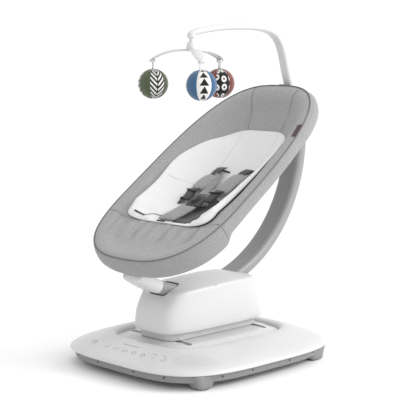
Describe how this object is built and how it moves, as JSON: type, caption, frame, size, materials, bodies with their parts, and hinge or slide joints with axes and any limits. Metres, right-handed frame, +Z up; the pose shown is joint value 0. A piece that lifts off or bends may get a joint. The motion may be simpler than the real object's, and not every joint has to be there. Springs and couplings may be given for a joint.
{
  "type": "baby swing",
  "caption": "Powered infant seat: a padded reclining seat on a curved tube, carried by a gliding, lifting tower on a low base, with an overhead mobile of soft balls.",
  "frame": {"origin": "on the floor, at the centre of the base's outline", "axes": "+Z up, -Y towards the foot end and the controls, +Y towards the head end, +X across the seat"},
  "size_m": [0.482, 0.6125, 0.7708],
  "materials": {
    "white_shell": "smooth satin white moulding",
    "grey_plastic": "fine-grained grey moulding",
    "rubber": "matt black rubber",
    "steel": "ground steel bar",
    "frame_metal": "grey painted pressed steel",
    "nylon": "natural nylon",
    "motor_can": "dark plated can",
    "circuit_board": "green board",
    "black_plastic": "fine-grained black moulding",
    "brass": "turned brass",
    "arc_finish": "satin pale silver coating",
    "grey_fabric": "fine heathered grey weave",
    "white_fabric": "soft white air-mesh knit",
    "webbing": "ribbed dark webbing",
    "tag_leather": "rose-brown leather",
    "ball_green_fabric": "olive felt with black and white panels",
    "ball_blue_fabric": "blue felt with black and white panels",
    "ball_red_fabric": "dusty red felt with black and white panels"
  },
  "bodies": {
    "base": {"base_cover": "white_shell", "recess_deck": "white_shell", "base_tray": "grey_plastic", "corner_feet": "grey_plastic", "foot_pads": "rubber", "base_screws": "steel", "slide_rails": "steel", "rail_blocks": "grey_plastic", "drive_motor": "motor_can", "idler_post": "grey_plastic", "drive_belt": "rubber", "main_board": "circuit_board", "control_board": "circuit_board", "speaker_driver": "motor_can", "power_inlet": "black_plastic"},
    "drive_pulley": {"drive_pulley": "nylon"},
    "idler_pulley": {"idler_pulley": "nylon"},
    "carriage": {"carriage_plate": "frame_metal", "rail_bushes": "nylon", "carriage_head": "frame_metal", "belt_clamp": "grey_plastic", "neck_cover": "white_shell", "guide_columns": "steel", "lift_motor": "motor_can"},
    "lift_screw": {"lift_screw": "steel"},
    "tower": {"tower_cover": "white_shell", "tower_frame": "frame_metal", "lift_nut": "brass", "saddle_plates": "frame_metal", "roller_axles": "steel"},
    "lower_roller_front": {"lower_roller_front": "nylon"},
    "lower_roller_rear": {"lower_roller_rear": "nylon"},
    "upper_roller_front": {"upper_roller_front": "nylon"},
    "upper_roller_rear": {"upper_roller_rear": "nylon"},
    "recline_knob": {"recline_knob": "grey_plastic"},
    "brake_shoe": {"brake_shoe": "rubber"},
    "seat": {"arc_tube_front": "arc_finish", "arc_tube_rear": "arc_finish", "tube_coupler": "frame_metal", "foot_bracket": "grey_plastic", "head_bracket": "grey_plastic", "ring_frame_foot": "steel", "ring_frame_head": "steel", "ring_couplers": "frame_metal", "side_band": "grey_fabric", "seat_sling": "grey_fabric", "insert_liner": "white_fabric", "harness_webbing": "webbing", "shoulder_pads": "grey_fabric", "crotch_strap": "grey_fabric", "buckle_body": "black_plastic", "buckle_tongues": "black_plastic", "side_tag": "tag_leather", "arm_socket": "grey_plastic"},
    "buckle_button": {"buckle_button": "black_plastic"},
    "mobile_arm": {"mobile_arm": "white_shell"},
    "mobile_spider": {"mobile_spider": "white_shell"},
    "ball_green": {"ball_green": "ball_green_fabric"},
    "ball_blue": {"ball_blue": "ball_blue_fabric"},
    "ball_red": {"ball_red": "ball_red_fabric"}
  },
  "joints": [
    {"name": "glide", "type": "slide", "parent": "base", "child": "carriage", "axis": [1, 0, 0], "range_m": [-0.038, 0.038]},
    {"name": "drive_pulley_spin", "type": "hinge", "parent": "base", "child": "drive_pulley", "pos_m": [-0.12, 0, 0.033], "axis": [0, 1, 0], "range_deg": [-250, 250]},
    {"name": "idler_pulley_spin", "type": "hinge", "parent": "base", "child": "idler_pulley", "pos_m": [0.12, 0, 0.033], "axis": [0, 1, 0], "range_deg": [-250, 250]},
    {"name": "lift", "type": "slide", "parent": "carriage", "child": "tower", "axis": [0, 0, 1], "range_m": [0, 0.038]},
    {"name": "lift_screw_spin", "type": "hinge", "parent": "carriage", "child": "lift_screw", "pos_m": [-0.042, -0.06, 0.12], "axis": [0, 0, 1], "range_deg": [-1720, 10]},
    {"name": "recline", "type": "hinge", "parent": "tower", "child": "seat", "pos_m": [0, -0.0095, 0.5034], "axis": [1, 0, 0], "range_deg": [-15, 8]},
    {"name": "lower_roller_front_spin", "type": "hinge", "parent": "tower", "child": "lower_roller_front", "pos_m": [0, -0.09763, 0.14992], "axis": [1, 0, 0], "range_deg": [-318, 594]},
    {"name": "lower_roller_rear_spin", "type": "hinge", "parent": "tower", "child": "lower_roller_rear", "pos_m": [0, 0.07863, 0.14992], "axis": [1, 0, 0], "range_deg": [-318, 594]},
    {"name": "upper_roller_front_spin", "type": "hinge", "parent": "tower", "child": "upper_roller_front", "pos_m": [0, -0.04834, 0.18708], "axis": [1, 0, 0], "range_deg": [-815, 436]},
    {"name": "upper_roller_rear_spin", "type": "hinge", "parent": "tower", "child": "upper_roller_rear", "pos_m": [0, 0.02934, 0.18708], "axis": [1, 0, 0], "range_deg": [-815, 436]},
    {"name": "recline_knob_turn", "type": "hinge", "parent": "tower", "child": "recline_knob", "pos_m": [-0.02, 0.16, 0.152], "axis": [0, 1, 0], "range_deg": [0, 90]},
    {"name": "brake_release", "type": "slide", "parent": "tower", "child": "brake_shoe", "axis": [0, 0, -1], "range_m": [0, 0.003]},
    {"name": "buckle_press", "type": "slide", "parent": "seat", "child": "buckle_button", "axis": [0, 0.5835, -0.8121], "range_m": [0, 0.0025], "stiffness_N_per_m": 300, "springref_m": -0.002},
    {"name": "mobile_swing", "type": "hinge", "parent": "seat", "child": "mobile_arm", "pos_m": [0, 0.31476, 0.60564], "axis": [0, -0.3007, 0.9537], "range_deg": [-60, 60]},
    {"name": "mobile_spin", "type": "hinge", "parent": "mobile_arm", "child": "mobile_spider", "pos_m": [0, -0.023, 0.735], "axis": [0, 0, 1], "continuous": true},
    {"name": "ball_green_swing", "type": "hinge", "parent": "mobile_spider", "child": "ball_green", "pos_m": [-0.07794, -0.068, 0.684], "axis": [0.5, -0.866, 0], "range_deg": [-28, 28]},
    {"name": "ball_blue_swing", "type": "hinge", "parent": "mobile_spider", "child": "ball_blue", "pos_m": [0.07794, -0.068, 0.684], "axis": [0.5, 0.866, 0], "range_deg": [-28, 28]},
    {"name": "ball_red_swing", "type": "hinge", "parent": "mobile_spider", "child": "ball_red", "pos_m": [0, 0.067, 0.684], "axis": [-1, 0, 0], "range_deg": [-28, 28]}
  ],
  "couplings": [
    {"joint": "drive_pulley_spin", "follows": "glide", "rad_per_m": 111.11},
    {"joint": "idler_pulley_spin", "follows": "glide", "rad_per_m": 111.11},
    {"joint": "lift_screw_spin", "follows": "lift", "rad_per_m": -785.4},
    {"joint": "lower_roller_front_spin", "follows": "recline", "ratio": -39.444},
    {"joint": "lower_roller_rear_spin", "follows": "recline", "ratio": -39.444},
    {"joint": "upper_roller_front_spin", "follows": "recline", "ratio": 54.167},
    {"joint": "upper_roller_rear_spin", "follows": "recline", "ratio": 54.167},
    {"joint": "recline_knob_turn", "follows": "brake_release", "rad_per_m": 520}
  ]
}
